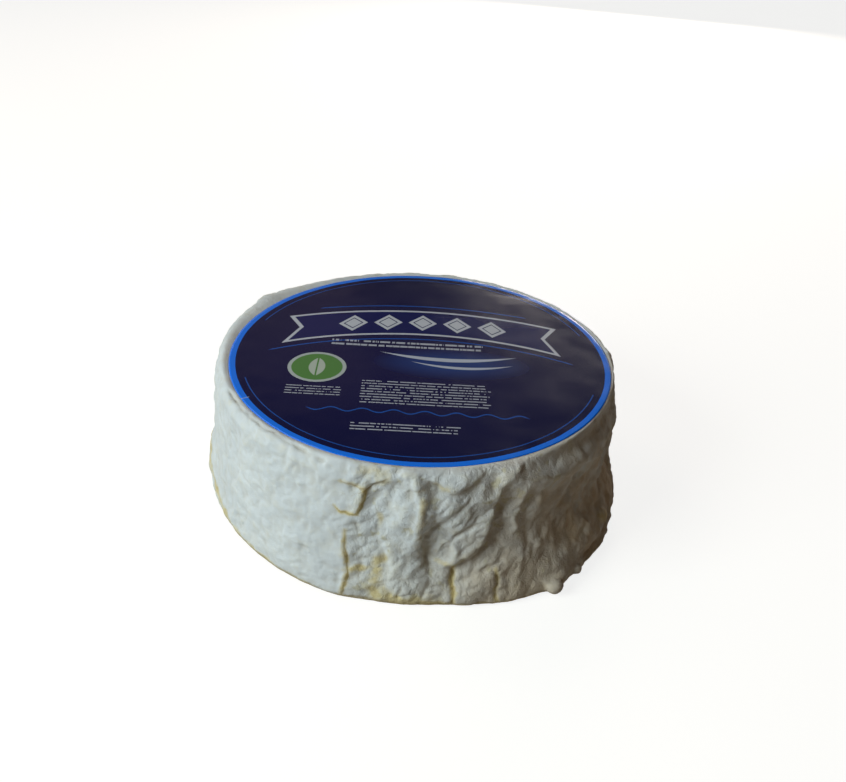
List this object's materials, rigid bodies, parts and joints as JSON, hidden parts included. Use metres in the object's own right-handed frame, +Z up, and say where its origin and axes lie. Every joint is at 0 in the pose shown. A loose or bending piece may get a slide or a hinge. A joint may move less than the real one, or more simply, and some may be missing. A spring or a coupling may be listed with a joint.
{
  "type": "goat cheese wheel",
  "caption": "Low round wheel of soft goat cheese with an uneven, wrinkled white rind and a round glossy label on its top.",
  "frame": {"origin": "on the flat foot that the wheel rests on, under the middle of its skirt", "axes": "+Z up along the wheel's own axis, -Y towards the side with the deepest folds, +X to the right of it"},
  "size_m": [0.1872, 0.1841, 0.0629],
  "materials": {
    "rind": "soft white bloomy rind, matt, ochre in its cracks",
    "label_print": "glossy printed film, navy with an azure edge"
  },
  "bodies": {
    "root": {"cheese_wheel": "rind", "top_label": "label_print"}
  },
  "joints": []
}
